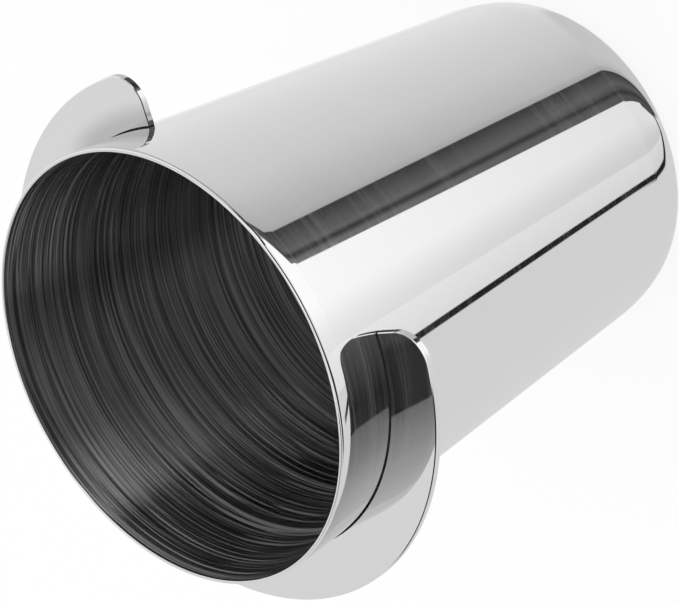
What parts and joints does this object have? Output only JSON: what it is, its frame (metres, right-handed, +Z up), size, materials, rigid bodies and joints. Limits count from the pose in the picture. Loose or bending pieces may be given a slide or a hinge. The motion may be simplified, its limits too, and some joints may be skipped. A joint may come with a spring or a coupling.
{
  "type": "dosing cup",
  "caption": "Deep drawn steel cup with a tapered wall and a C-shaped collar near its mouth, for carrying ground coffee and hanging in a fork.",
  "frame": {"origin": "centre of the flat base, on the surface it stands on", "axes": "+Z up the cup's axis to the mouth, -Y towards the open side of the collar, +X to the right seen from that side"},
  "size_m": [0.0708, 0.0644, 0.076],
  "materials": {
    "cup_steel": "mirror polished outside, brushed inside",
    "collar_steel": "mirror polished"
  },
  "bodies": {
    "root": {"cup_body": "cup_steel", "collar": "collar_steel"}
  },
  "joints": []
}
